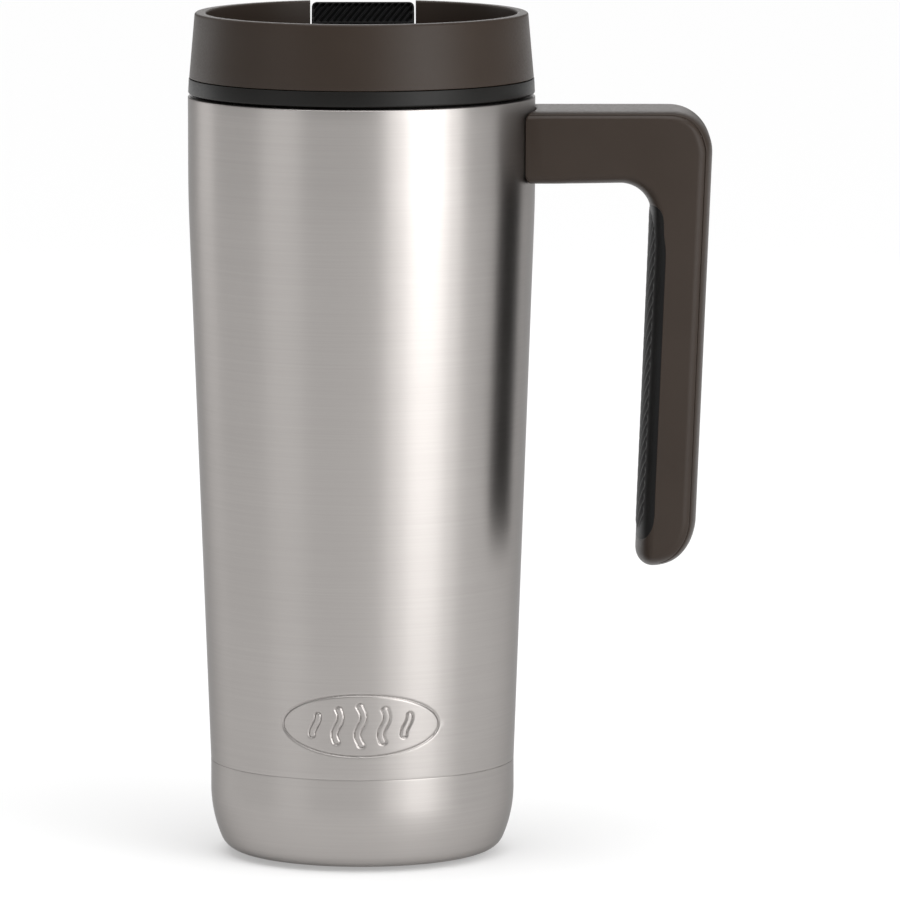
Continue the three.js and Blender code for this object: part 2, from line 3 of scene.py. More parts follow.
import bmesh
import bpy
import numpy as np
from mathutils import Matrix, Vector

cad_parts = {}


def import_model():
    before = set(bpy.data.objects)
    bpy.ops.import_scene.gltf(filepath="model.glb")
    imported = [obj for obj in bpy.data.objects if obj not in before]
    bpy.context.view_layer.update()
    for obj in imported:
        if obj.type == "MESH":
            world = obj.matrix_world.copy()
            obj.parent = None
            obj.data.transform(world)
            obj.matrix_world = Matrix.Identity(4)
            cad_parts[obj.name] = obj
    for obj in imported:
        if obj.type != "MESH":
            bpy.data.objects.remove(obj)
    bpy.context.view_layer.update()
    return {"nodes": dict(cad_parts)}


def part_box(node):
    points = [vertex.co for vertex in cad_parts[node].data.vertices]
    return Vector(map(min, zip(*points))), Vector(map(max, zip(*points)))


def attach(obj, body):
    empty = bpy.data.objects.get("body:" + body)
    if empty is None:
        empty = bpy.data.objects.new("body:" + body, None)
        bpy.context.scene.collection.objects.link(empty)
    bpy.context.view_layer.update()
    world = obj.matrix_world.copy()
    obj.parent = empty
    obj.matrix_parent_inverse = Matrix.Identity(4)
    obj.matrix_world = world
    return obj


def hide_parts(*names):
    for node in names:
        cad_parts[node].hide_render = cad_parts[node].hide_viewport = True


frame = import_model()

MM = 0.001
NODES = frame["nodes"]


def box_mm(node):
    low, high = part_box(node)
    return np.array(low) / MM, np.array(high) / MM


# ---- Sizes ---------------------------------------------------------------------------------------
shell_low, shell_high = box_mm("outer_shell")
BODY_R = shell_high[0]
LIP_Z = shell_high[2]
SEAM_Z = shell_low[2] - 0.15
BASE_R = box_mm("base_cup")[1][0]
TAPER_TOP_Z = 160.0
TAPER = (BODY_R - BASE_R) / (TAPER_TOP_Z - SEAM_Z)
WALL = 0.6
GAP = 0.3  # clearance between separate pieces
NECK_R = 38.2
LINER_R = 36.2
LINER_FLOOR_Z = 8.0
SHOULDER_Z = (168.5, 171.4)  # where the liner widens into the neck

THREAD_LEAD = 8.0
THREAD_TURNS = 0.75
NECK_THREAD_Z = 173.2
LID_THREAD_Z = 175.2

RIM_Z = box_mm("lid_ring")[1][2]
RING_Z = 189.1
RING_R = 41.66
RING_INNER_R = 37.6
RING_TAPER = 0.0877
DECK_Z = 194.6
PLUG_R = 36.7
NOTCH_HALF = 12.95
PIVOT_Y, PIVOT_Z = (box_mm("lever_pin")[0] + box_mm("lever_pin")[1])[1:] / 2

HANDLE_HALF = box_mm("handle_body")[1][1]
ARM_TOP_Z = box_mm("handle_cover")[1][2]
GRIP_OUTER_X = box_mm("handle_cover")[1][0]
ARM_UNDER_Z = 164.25
LEAN = 0.0415


# ---- Mesh helpers --------------------------------------------------------------------------------
def mesh_object(name, points, faces):
    """A closed mesh from points in millimetres, with doubled points merged and faces turned out."""
    mesh = bpy.data.meshes.new(name)
    mesh.from_pydata((np.asarray(points, float).reshape(-1, 3) * MM).tolist(), [], faces)
    bm = bmesh.new()
    bm.from_mesh(mesh)
    bmesh.ops.remove_doubles(bm, verts=bm.verts, dist=2e-7)
    bmesh.ops.dissolve_degenerate(bm, edges=bm.edges, dist=1e-8)
    bmesh.ops.recalc_face_normals(bm, faces=bm.faces)
    bm.to_mesh(mesh)
    bm.free()
    obj = bpy.data.objects.new(name, mesh)
    bpy.context.scene.collection.objects.link(obj)
    return obj


def grid_faces(rows, columns, close_rows=False, close_columns=False):
    faces = []
    for i in range(rows if close_rows else rows - 1):
        for j in range(columns if close_columns else columns - 1):
            a, b = i * columns + j, i * columns + (j + 1) % columns
            below = (i + 1) % rows * columns
            faces.append((a, b, below + (j + 1) % columns, below + j))
    return faces


def arc(cx, cz, rx, rz, start, end, steps):
    a = np.radians(np.linspace(start, end, steps + 1))
    return np.stack([cx + rx * np.cos(a), cz + rz * np.sin(a)], -1)


def rounded(corners, steps=6, closed=True):
    """An outline through (a, b, radius) corners, each rounded by an arc of its radius."""
    out = []
    count = len(corners)
    for i, (a, b, radius) in enumerate(corners):
        here = np.array((a, b), float)
        if radius == 0 or (not closed and i in (0, count - 1)):
            out.append(here)
            continue
        to_last = np.array(corners[i - 1][:2]) - here
        to_next = np.array(corners[(i + 1) % count][:2]) - here
        to_last /= np.linalg.norm(to_last)
        to_next /= np.linalg.norm(to_next)
        half = math.acos(np.clip(to_last @ to_next, -1, 1)) / 2
        middle = (to_last + to_next) / np.linalg.norm(to_last + to_next)
        centre = here + middle * radius / math.sin(half)
        start = here + to_last * radius / math.tan(half) - centre
        end = here + to_next * radius / math.tan(half) - centre
        a0 = math.atan2(start[1], start[0])
        turn = (math.atan2(end[1], end[0]) - a0 + math.pi) % (2 * math.pi) - math.pi
        for t in np.linspace(0, 1, steps + 1):
            at = a0 + turn * t
            out.append(centre + radius * np.array((math.cos(at), math.sin(at))))
    return np.array(out)


def refine(profile, longest, closed=True):
    """Adds points to a profile so that no side is longer than a length."""
    out = []
    count = len(profile)
    for i in range(count if closed else count - 1):
        start, end = profile[i], profile[(i + 1) % count]
        parts = max(1, math.ceil(np.linalg.norm(end - start) / longest))
        out += [start + (end - start) * k / parts for k in range(parts)]
    return np.array(out if closed else out + [profile[-1]])


def full_turn(count):
    return np.linspace(0, 2 * math.pi, count, endpoint=False)


def turned(profile, angles, change=None):
    """The points of a profile of (radius, height) turned round Z: a row for each of its points.
    change(radius, height, angle) may return a new radius."""
    radius = np.repeat(profile[:, :1], len(angles), 1)
    height = np.repeat(profile[:, 1:], len(angles), 1)
    angle = np.repeat(np.asarray(angles)[None], len(profile), 0)
    if change:
        radius = change(radius, height, angle)
    return np.stack([radius * np.sin(angle), -radius * np.cos(angle), height], -1)


def lathe(name, profile, angles, change=None):
    """Turns a profile round Z, with a number of angles or the angles themselves. A profile that
    starts on the axis ends on it too, and any other closes on itself."""
    if np.isscalar(angles):
        angles = full_turn(angles)
    profile = np.asarray(profile, float)
    closed = profile[0][0] > 1e-6
    return mesh_object(
        name, turned(profile, angles, change), grid_faces(len(profile), len(angles), closed, True)
    )


AXES = {"XY": (0, 1, 2), "XZ": (0, 2, 1), "YZ": (1, 2, 0)}


def prism(name, plane, outline, low, high):
    """Extrudes an outline in a plane between two distances along the third axis."""
    a, b, c = AXES[plane]
    count = len(outline)
    points = np.zeros((2, count, 3))
    points[..., a] = outline[:, 0]
    points[..., b] = outline[:, 1]
    points[0, :, c] = low
    points[1, :, c] = high
    faces = grid_faces(2, count, False, True)
    faces += [tuple(range(count)), tuple(range(2 * count - 1, count - 1, -1))]
    return mesh_object(name, points, faces)


def stadium(a, b, half_a, half_b, steps=14):
    flat = half_a - half_b
    right = arc(a + flat, b, half_b, half_b, -90, 90, steps)
    left = arc(a - flat, b, half_b, half_b, 90, 270, steps)
    return np.concatenate([right, left])


def rectangle(a0, b0, a1, b1, radius=0.0):
    return rounded([(a0, b0, radius), (a1, b0, radius), (a1, b1, radius), (a0, b1, radius)])


def apply_modifiers(obj):
    graph = bpy.context.evaluated_depsgraph_get()
    made = bpy.data.meshes.new_from_object(obj.evaluated_get(graph))
    obj.modifiers.clear()
    obj.data = made


def combine(obj, operation, *tools):
    """Joins, cuts or intersects obj with closed tools, which are used up."""
    for tool in tools:
        step = obj.modifiers.new("combine", "BOOLEAN")
        step.operation = operation
        step.solver = "EXACT"
        step.object = tool
        apply_modifiers(obj)
        bpy.data.objects.remove(tool)
    return obj


def bevel(obj, width, angle=35, segments=3):
    """Rounds every edge that is sharper than an angle, in degrees."""
    step = obj.modifiers.new("round", "BEVEL")
    step.width = width * MM
    step.segments = segments
    step.limit_method = "ANGLE"
    step.angle_limit = math.radians(angle)
    apply_modifiers(obj)
    return obj


def finish_piece(obj, material, body, node, smooth=35):
    """Shades a piece, gives it its material, ties it to its body and hides its CAD node."""
    obj.data.materials.clear()
    obj.data.materials.append(material)
    obj.data.shade_smooth()
    obj.data.set_sharp_from_angle(angle=math.radians(smooth))
    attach(obj, body)
    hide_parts(node)
    return obj


# ---- Materials -----------------------------------------------------------------------------------
class Nodes:
    """Short names for building a material's node tree."""

    def __init__(self, name):
        self.material = bpy.data.materials.new(name)
        self.material.use_nodes = True
        self.tree = self.material.node_tree
        self.shader = self.tree.nodes["Principled BSDF"]

    def add(self, kind, inputs=None, **settings):
        node = self.tree.nodes.new("ShaderNode" + kind)
        for key, value in settings.items():
            setattr(node, key, value)
        for key, value in (inputs or {}).items():
            self.give(node, key, value)
        return node

    def give(self, node, key, value):
        if isinstance(value, bpy.types.NodeSocket):
            self.tree.links.new(value, node.inputs[key])
        else:
            node.inputs[key].default_value = value

    def noise(self, scale, detail=3.0, stretch=(1, 1, 1), roughness=0.5):
        place = self.add("TexCoord").outputs["Object"]
        mapping = self.add("Mapping", {"Vector": place, "Scale": stretch})
        texture = self.add("TexNoise", {"Vector": mapping.outputs[0], "Scale": scale})
        texture.inputs["Detail"].default_value = detail
        texture.inputs["Roughness"].default_value = roughness
        return texture.outputs["Fac"]

    def ramp(self, value, low, high, start=0.3, end=0.7):
        node = self.add("MapRange", {"Value": value, "From Min": start, "From Max": end})
        node.inputs["To Min"].default_value = low
        node.inputs["To Max"].default_value = high
        return node.outputs[0]

    def mix(self, factor, first, second):
        node = self.add("Mix", data_type="RGBA")
        self.give(node, "Factor", factor)
        node.inputs["A"].default_value = (*first, 1)
        node.inputs["B"].default_value = (*second, 1)
        return node.outputs["Result"]

    def bump(self, height, distance, strength=1.0, below=None):
        node = self.add("Bump", {"Height": height, "Distance": distance * MM, "Strength": strength})
        if below:
            self.give(node, "Normal", below)
        return node.outputs[0]

    def surface(self, **values):
        for key, value in values.items():
            self.give(self.shader, key.replace("_", " "), value)
        return self.material


def brushed_steel(name):
    """Steel brushed round the axis: fine level streaks that spread highlights up and down."""
    n = Nodes(name)
    streak = n.noise(1.0, 5, stretch=(22, 22, 2600), roughness=0.6)
    fine = n.noise(1.0, 3, stretch=(60, 60, 9000), roughness=0.6)
    patch = n.noise(28.0, 3)
    tangent = n.add("Tangent", direction_type="RADIAL", axis="Z").outputs[0]
    return n.surface(
        Base_Color=n.mix(n.ramp(streak, 0, 1), STEEL_DARK, STEEL_LIGHT),
        Metallic=1.0,
        Specular_Tint=(0.5, 0.5, 0.5, 1),
        Roughness=n.ramp(patch, 0.32, 0.36),
        Anisotropic=0.65,
        Anisotropic_Rotation=0.25,
        Tangent=tangent,
        Normal=n.bump(fine, 0.003, 0.4, n.bump(streak, 0.005, 0.4)),
    )


def plain_steel(name):
    n = Nodes(name)
    grain = n.noise(900.0, 4)
    return n.surface(
        Base_Color=n.mix(n.ramp(n.noise(60.0), 0, 1), (0.50, 0.49, 0.48), (0.58, 0.57, 0.56)),
        Metallic=1.0,
        Roughness=n.ramp(grain, 0.26, 0.36),
        Normal=n.bump(grain, 0.006, 0.5),
    )


def moulded(name, dark, light, roughness, grain_size, grain_depth, gloss=0.2):
    """Moulded plastic or rubber with a fine cast grain, in a mottled colour."""
    n = Nodes(name)
    grain = n.noise(1000.0 / grain_size, 3, roughness=0.65)
    soft = n.noise(45.0, 2)
    return n.surface(
        Base_Color=n.mix(n.ramp(soft, 0, 1), dark, light),
        Roughness=n.ramp(grain, roughness - 0.05, roughness + 0.06),
        Specular_IOR_Level=gloss,
        Normal=n.bump(grain, grain_depth, 0.7),
    )


STEEL_DARK = (0.385, 0.364, 0.350)
STEEL_LIGHT = (0.410, 0.388, 0.374)
STEEL = brushed_steel("brushed_steel")
PLAIN = plain_steel("plain_steel")
BROWN = moulded("brown_plastic", (0.0262, 0.0180, 0.0130), (0.0298, 0.0206, 0.0152), 0.40, 0.5, 0.012)
BLACK = moulded("black_plastic", (0.0072, 0.0068, 0.0062), (0.0092, 0.0086, 0.0078), 0.36, 0.5, 0.01, 0.16)
RUBBER = moulded("black_rubber", (0.004, 0.004, 0.004), (0.006, 0.006, 0.006), 0.42, 0.35, 0.01, 0.14)
SILICONE = moulded("silicone", (0.23, 0.225, 0.215), (0.27, 0.26, 0.25), 0.5, 0.6, 0.008)


# ---- Vacuum body ---------------------------------------------------------------------------------
def body_radius(z):
    """Outer radius: straight at the top, with a soft change into the taper."""
    soft = 4.0
    t = TAPER_TOP_Z - z
    return BODY_R - TAPER * (t + np.sqrt(t * t + soft * soft)) / 2


BADGE_Z = 36.3
BADGE_HALF = (19.4, 7.5)
STEAM_SPACING = 5.6
STEAM_HALF = (2.3, 3.8, 4.6, 3.8, 2.3)
STEAM_SWAY, STEAM_WAVE = 0.75, 8.6
STEAM_WIDTH = 0.75  # from a ribbon's middle to its outline
BADGE_DEPTH = 0.3
OVAL_LINE, STEAM_LINE = 0.25, 0.22  # widths of the pressed lines


def badge_relief(across, up):
    """How far the badge's grooves are sunk: an oval round five outlined ribbons of rising steam."""
    half_a, half_b = BADGE_HALF
    q = np.sqrt((across / half_a) ** 2 + (up / half_b) ** 2) + 1e-9
    slope = np.sqrt((across / half_a**2) ** 2 + (up / half_b**2) ** 2) / q + 1e-9
    groove = np.exp(-(((q - 1) / slope / OVAL_LINE) ** 2))
    turn = 2 * math.pi / STEAM_WAVE
    for i, reach in enumerate(STEAM_HALF):
        middle = (i - (len(STEAM_HALF) - 1) / 2) * STEAM_SPACING
        along = np.clip(up, -reach, reach)
        lean = STEAM_SWAY * turn * np.cos(turn * along)
        side = (across - middle - STEAM_SWAY * np.sin(turn * along)) / np.sqrt(1 + lean**2)
        away = np.hypot(side, up - along)
        groove = np.maximum(groove, np.exp(-(((away - STEAM_WIDTH) / STEAM_LINE) ** 2)))
    return -BADGE_DEPTH * groove


def shell_angles():
    """Columns round the shell, measured from -Y: close together across the badge."""
    close = np.arange(-20.2, 20.21, 0.16) / body_radius(BADGE_Z)
    wide = np.linspace(close[-1], 2 * math.pi + close[0], 150)[1:-1]
    return np.concatenate([close, wide])


SEAM_HALF_GAP, SEAM_EDGE = 0.008, 0.06  # the base seam: half its width, and its rounded edges


def outer_shell():
    low = SEAM_Z + SEAM_HALF_GAP
    edge, lip_round = SEAM_EDGE, 0.3
    heights = np.concatenate([
        np.arange(SEAM_Z + 0.6, 27.4, 1.2),
        np.arange(27.6, 45.2, 0.16),
        np.arange(46, LIP_Z - 1.2, 3.0),
    ])
    bottom = arc(body_radius(low) - edge, low + edge, edge, edge, -90, 0, 4)
    side = np.stack([body_radius(heights), heights], -1)
    lip = arc(BODY_R - lip_round, LIP_Z - lip_round, lip_round, lip_round, 0, 90, 6)
    lip_inner = NECK_R + WALL + GAP
    rest = np.array([
        (lip_inner + 0.2, LIP_Z),
        (lip_inner, LIP_Z - 0.2),
        (lip_inner, LIP_Z - WALL),
        (BODY_R - WALL - 0.3, LIP_Z - WALL - 0.3),
        (BODY_R - WALL, LIP_Z - WALL - 1.2),
        (BODY_R - WALL, TAPER_TOP_Z),
        (body_radius(low) - WALL, low),
    ])
    profile = np.concatenate([bottom, side, lip, rest])

    def press(radius, height, angle):
        across = (np.sin(angle / 2) * 2) * radius
        outside = radius > body_radius(height) - 0.1
        near = (np.cos(angle) > 0.8) & (np.abs(height - BADGE_Z) < BADGE_HALF[1] + 1.5) & outside
        return radius + np.where(near, badge_relief(across, height - BADGE_Z), 0)

    obj = lathe("body_shell", profile, shell_angles(), press)
    return finish_piece(obj, STEEL, "mug", "outer_shell", 40)


BASE_SOFT_R, BASE_SOFT_TURN = 31.0, 23.2  # the soft upper part of the corner turns by degrees
BASE_CORNER_R, BASE_RISE = 5.0, 0.85  # the tight lower part, and how far its end is off the table
FOOT_R, RECESS_R, RECESS_Z = 21.5, 19.5, 1.9
HOLE_R = 2.6


def base_cup():
    """The base: side, rounded corner, a low foot ring and a recess with a hole for the vacuum."""
    wall, edge = 0.7, SEAM_EDGE
    turn = math.radians(BASE_SOFT_TURN)
    corner_x = BASE_R - BASE_SOFT_R + (BASE_SOFT_R - BASE_CORNER_R) * math.cos(turn)
    corner_z = BASE_RISE + BASE_CORNER_R
    soft_z = corner_z + (BASE_SOFT_R - BASE_CORNER_R) * math.sin(turn)

    def corner(inset, steps):
        soft, tight = BASE_SOFT_R - inset, BASE_CORNER_R - inset
        upper = arc(BASE_R - BASE_SOFT_R, soft_z, soft, soft, 0, -BASE_SOFT_TURN, 2 * steps)
        lower = arc(corner_x, corner_z, tight, tight, -BASE_SOFT_TURN, -90, 2 * steps)
        return np.concatenate([upper, lower[1:]])

    top = SEAM_Z - SEAM_HALF_GAP
    spigot_r, spigot_wall, spigot_top, lap = BASE_R - 0.8, 0.5, top + 2.9, 0.8
    side_z = np.linspace(soft_z, top - 0.5, 6)[1:]
    foot = rounded([
        (corner_x, BASE_RISE, 0),
        (FOOT_R + 0.5, BASE_RISE, 0.4),
        (FOOT_R, 0, 0.35),
        (RECESS_R, 0, 0.35),
        (RECESS_R - 0.5, RECESS_Z, 0.4),
        (HOLE_R, RECESS_Z, 0),
    ], closed=False)
    profile = np.concatenate([
        foot[::-1],
        corner(0, 7)[::-1][1:],
        np.stack([np.full(len(side_z), BASE_R), side_z], -1),
        arc(BASE_R - edge, top - edge, edge, edge, 0, 90, 4),
        [(spigot_r, top), (spigot_r, spigot_top)],
        [(spigot_r - spigot_wall, spigot_top), (spigot_r - spigot_wall, top - lap)],
        [(BASE_R - wall, top - lap - 0.5)],
        corner(wall, 3),
        [(FOOT_R - 0.2, BASE_RISE + wall), (FOOT_R - 0.2, RECESS_Z + wall)],
        [(HOLE_R, RECESS_Z + wall)],
    ])
    obj = lathe("base_cup_shell", profile, 224)
    return finish_piece(obj, STEEL, "mug", "base_cup", 40)


def base_disc():
    low, high = box_mm("base_disc")
    profile = rounded(
        [(0, low[2], 0), (high[0], low[2], 0.25), (high[0], high[2], 0.25), (0, high[2], 0)], closed=False
    )
    obj = lathe("base_disc_plate", refine(profile, 4, closed=False), 160)
    return finish_piece(obj, STEEL, "mug", "base_disc")


def thread(height, angle, start_z, depth, root_half=1.15, crest_half=0.5):
    """How far two thread starts stand out at a height and angle, fading in and out at their ends.
    A negative depth stands in towards the axis."""
    out = np.zeros_like(height)
    around = (angle - math.pi / 2) % (2 * math.pi)  # counted from +X
    for start in range(2):
        turned = (around - start * math.pi) % (2 * math.pi)
        turns = turned / (2 * math.pi)
        centre = start_z + THREAD_LEAD * turns
        away = np.abs(height - centre)
        side = np.clip((root_half - away) / (root_half - crest_half), 0, 1)
        ends = np.clip(np.minimum(turns, THREAD_TURNS - turns) / 0.06 + 0.2, 0, 1) * (turns <= THREAD_TURNS)
        out = np.maximum(out, side * ends)
    return depth * out


def inner_liner():
    corner_z = 14.0
    corner = corner_z - LINER_FLOOR_Z
    low_r = LINER_R - TAPER * (SHOULDER_Z[0] - corner_z)
    inside = np.concatenate([
        [(0, LINER_FLOOR_Z)],
        arc(low_r - corner, corner_z, corner, corner, -90, 0, 8),
        [(LINER_R, SHOULDER_Z[0]), (NECK_R, SHOULDER_Z[1])],
        np.stack([np.full(45, NECK_R), np.linspace(171.8, LIP_Z - 0.4, 45)], -1),
        [(NECK_R + 0.2, LIP_Z)],
    ])
    outside = np.concatenate([
        [(0, LINER_FLOOR_Z - WALL)],
        arc(low_r - corner, corner_z, corner + WALL, corner + WALL, -90, 0, 8),
        [(LINER_R + WALL, SHOULDER_Z[0] - 0.4), (NECK_R + WALL, SHOULDER_Z[1] - 0.4)],
        [(NECK_R + WALL, LIP_Z - 0.1)],
    ])
    profile = np.concatenate([inside, outside[::-1]])

    def ridge(radius, height, angle):
        inner = (radius > NECK_R - 0.01) & (radius < NECK_R + 0.01)
        return radius + np.where(inner, thread(height, angle, NECK_THREAD_Z, -0.9), 0)

    obj = lathe("liner_cup", profile, 180, ridge)
    return finish_piece(obj, PLAIN, "mug", "inner_liner")


# ---- Handle --------------------------------------------------------------------------------------
def smoothed(values, window):
    """A row of values averaged under a window of an odd length."""
    return np.convolve(np.pad(values, len(window) // 2, "edge"), window / window.sum(), "valid")


def handle_path():
    """The handle's outline in the XZ plane: from the root along the top, down the outside, round the
    tip and back up the inside to the underside of the root. Each point has its length along the
    outline, inward normal, edge depth, how square the edge is and how far in the cover's seam is."""
    lean = math.degrees(math.atan(LEAN))
    bend_r, inner_r = 10.0, 7.5
    tip_x, tip_z, tip_rx, tip_rz = 70.4, 83.5, 10.6, 12.8
    heel_z, heel_rx, heel_rz = 74.6, 3.95, 3.9
    inner_z = ARM_UNDER_Z - inner_r
    inner_x = tip_x - heel_rx + LEAN * (inner_z - heel_z) - inner_r
    grip_z = np.array([84.0, 150.0])
    stretches = [  # points, edge depth, squareness, seam inset
        (np.array([(30, ARM_TOP_Z), (GRIP_OUTER_X - bend_r, ARM_TOP_Z)]), 1.9, 7.0, 0.6),
        (arc(GRIP_OUTER_X - bend_r, ARM_TOP_Z - bend_r, bend_r, bend_r, 90, 40, 25), 2.4, 6.5, 0.8),
        (arc(GRIP_OUTER_X - bend_r, ARM_TOP_Z - bend_r, bend_r, bend_r, 40, -lean, 25), 3.8, 6.0, 1.7),
        (arc(tip_x, tip_z, tip_rx, tip_rz, -lean, -60, 40), 3.8, 5.0, 1.6),
        (arc(tip_x, tip_z, tip_rx, tip_rz, -60, -90, 30)[1:], 4.2, 2.5, 1.3),
        (arc(tip_x, heel_z, heel_rx, heel_rz, 270, 180, 30)[1:], 3.9, 2.4, 1.3),
        (np.stack([tip_x - heel_rx + LEAN * (grip_z - heel_z), grip_z], -1), 3.8, 3.2, 1.3),
        (arc(inner_x, inner_z, inner_r, inner_r, 0, 90, 36), 3.0, 5.0, 1.3),
        (np.array([(45.0, ARM_UNDER_Z), (30.0, ARM_UNDER_Z)]), 2.2, 9.0, 1.3),
    ]
    points = np.concatenate([s[0] for s in stretches])
    step = np.linalg.norm(np.diff(points, axis=0), axis=1)
    length = np.concatenate([[0], np.cumsum(step)])
    at = np.arange(0, length[-1], 0.5)
    path = np.stack([np.interp(at, length, points[:, k]) for k in (0, 1)], -1)
    tangent = np.gradient(path, axis=0)
    tangent = np.stack([smoothed(tangent[:, k], np.hanning(9)[1:-1]) for k in (0, 1)], -1)
    tangent /= np.linalg.norm(tangent, axis=1, keepdims=True)
    normal = np.stack([tangent[:, 1], -tangent[:, 0]], -1)

    def along(column):
        values = np.concatenate([np.full(len(s[0]), s[column]) for s in stretches])
        return smoothed(np.interp(at, length, values), np.hanning(25))

    return at, path, normal, along(1), along(2), along(3)


AT, PATH, NORMAL, DEPTH, SQUARE, SEAM = handle_path()
TIP_INDEX = int(np.argmin(PATH[:, 1]))
SEAM_GAP = 0.24
SEAM_ROUND = 0.34
EDGE_COLUMNS = 9
MIDDLE_COLUMNS = 30


def section(depth, square, split, edge_columns, middle_columns, side=0):
    """The handle's edge in section, from its front flat to its back flat, as inset and y. Side 0 is
    all of it. The seam is at the inset called split: side 1 is the part beyond it and -1 the rest."""
    t = np.linspace(0, math.pi / 2, 700)
    y = HANDLE_HALF * np.sin(t) ** (2 / square)
    inset = depth * (1 - np.cos(t))
    length = np.concatenate([[0], np.cumsum(np.hypot(np.diff(y), np.diff(inset)))])
    cut = np.interp(split, inset, length)
    if side:
        turn = np.radians(np.linspace(90, 0, 6))
        away = SEAM_GAP / 2 + SEAM_ROUND * (1 - np.cos(turn))
        sunk = SEAM_ROUND * (1 - np.sin(turn))
        if side > 0:
            far = np.linspace(length[-1], cut + away[0], edge_columns)[:-1]
            half = np.concatenate([far, cut + away])[::-1]
            relief = np.concatenate([np.zeros(len(far)), sunk])[::-1]
        else:
            near = np.linspace(0, cut - away[0], middle_columns // 2)[:-1]
            half = np.concatenate([near, cut - away])
            relief = np.concatenate([np.zeros(len(near)), sunk])
    else:
        half = np.concatenate([
            np.linspace(0, cut, middle_columns // 2 + 1),
            np.linspace(cut, length[-1], edge_columns + 1)[1:],
        ])
        relief = np.zeros(len(half))
    a = np.interp(half, length, inset)
    b = np.interp(half, length, y)
    # the section's own outward direction, for the relief
    da = np.gradient(inset, length)
    db = np.gradient(y, length)
    a = a + relief * np.interp(half, length, db)
    b = b - relief * np.interp(half, length, da)
    first = 1 if half[0] == 0 else 0
    return np.concatenate([a[::-1], a[first:]]), np.concatenate([-b[::-1], b[first:]])


GRIP_TOP = (159.3, 4.2)  # height at the middle, and how much lower its corners end
GRIP_FOOT = (77.9, -6.2)


def grip_index(height):
    """The station on the inside of the handle that is nearest to a height."""
    inner = np.arange(len(AT)) > TIP_INDEX
    usable = inner & (PATH[:, 1] < GRIP_TOP[0] + 1.2) & (PATH[:, 0] > 66)  # below the inner bend
    rows = np.where(usable)[0]
    return int(rows[np.argmin(np.abs(PATH[rows, 1] - height))])


GRIP_START = grip_index(GRIP_FOOT[0])
GRIP_END = grip_index(GRIP_TOP[0])


def skin(stations, edge_columns=EDGE_COLUMNS, middle_columns=MIDDLE_COLUMNS, split=None, side=0, extra=0.0):
    """Points of the handle's skin: a row for each station, a column for each place in the section.
    Rows bend near the grip's ends, so that its rounded corners lie along a row."""
    out = []
    for s in stations:
        depth = np.interp(s, AT, DEPTH)
        seam = np.interp(s, AT, SEAM) if split is None else split
        inset, y = section(depth, np.interp(s, AT, SQUARE), seam, edge_columns, middle_columns, side)
        fall = 1 - np.sqrt(np.clip(1 - (inset / depth) ** 2, 0, 1))
        moved = np.full(len(inset), s)
        for end, drop in ((AT[GRIP_END], GRIP_TOP[1]), (AT[GRIP_START], GRIP_FOOT[1])):
            weight = max(0.0, 1 - abs(s - end) / 14.0)
            moved = moved - drop * fall * weight * weight * (3 - 2 * weight)
        x = np.interp(moved, AT, PATH[:, 0]) + np.interp(moved, AT, NORMAL[:, 0]) * (inset + extra)
        z = np.interp(moved, AT, PATH[:, 1]) + np.interp(moved, AT, NORMAL[:, 1]) * (inset + extra)
        out.append(np.stack([x, y, z], -1))
    return np.array(out)


ROOT_X, BLEND_X = 30.0, 50.0
ROOT_ROUND = 0.7


def trim_root(rows):
    """Fits the handle's root to the mug's wall, with its end rounded and a hair of clearance."""
    share = np.clip((rows[..., 0] - ROOT_X) / (BLEND_X - ROOT_X), 0, 1)

    def wall_x(y):
        return np.sqrt((BODY_R + 0.06) ** 2 - y**2)

    from_wall = np.minimum(share * (BLEND_X - wall_x(rows[..., 1])), ROOT_ROUND)
    relief = ROOT_ROUND - np.sqrt(ROOT_ROUND**2 - (ROOT_ROUND - from_wall) ** 2)
    middle_z, half_z = (ARM_TOP_Z + ARM_UNDER_Z) / 2, (ARM_TOP_Z - ARM_UNDER_Z) / 2
    x, y, z = rows[..., 0], rows[..., 1], rows[..., 2]
    y = np.where(share < 1, y * (1 - relief / HANDLE_HALF), y)
    z = np.where(share < 1, middle_z + (z - middle_z) * (1 - relief / half_z), z)
    x = np.where(share < 1, wall_x(y) + share * (BLEND_X - wall_x(y)), x)
    return np.stack([x, y, z], -1)


def chord(row, deeper, normal):
    """The same row pulled flat between its ends and sunk by a depth."""
    t = np.linspace(0, 1, len(row))[:, None]
    flat = row[0] + (row[-1] - row[0]) * t
    return flat + np.array([normal[0], 0, normal[1]]) * deeper


def closed_band(name, top, bottom):
    """A closed shell from two grids of the same layout, joined along their borders."""
    rows, columns = top.shape[:2]
    base = rows * columns
    faces = grid_faces(rows, columns)
    faces += [tuple(base + k for k in f[::-1]) for f in faces]
    border = [i * columns for i in range(rows)]
    border += [(rows - 1) * columns + j for j in range(1, columns)]
    border += [i * columns + columns - 1 for i in range(rows - 2, -1, -1)]
    border += list(range(columns - 2, 0, -1))
    for a, b in zip(border, border[1:] + border[:1]):
        faces.append((b, a, base + a, base + b))
    return mesh_object(name, np.concatenate([top.reshape(-1, 3), bottom.reshape(-1, 3)]), faces)


COVER_END = TIP_INDEX - 4
SEAT_DEPTH = 0.45


def outer_edges(plain_row, half):
    """The plain skin's two edges, with as many columns as the edges outside the seam have."""
    edges = plain_row[: EDGE_COLUMNS + 1], plain_row[-EDGE_COLUMNS - 1 :]
    at = np.linspace(0, EDGE_COLUMNS, half)
    index = np.arange(EDGE_COLUMNS + 1)
    return [np.stack([np.interp(at, index, e[:, k]) for k in range(3)], -1) for e in edges]


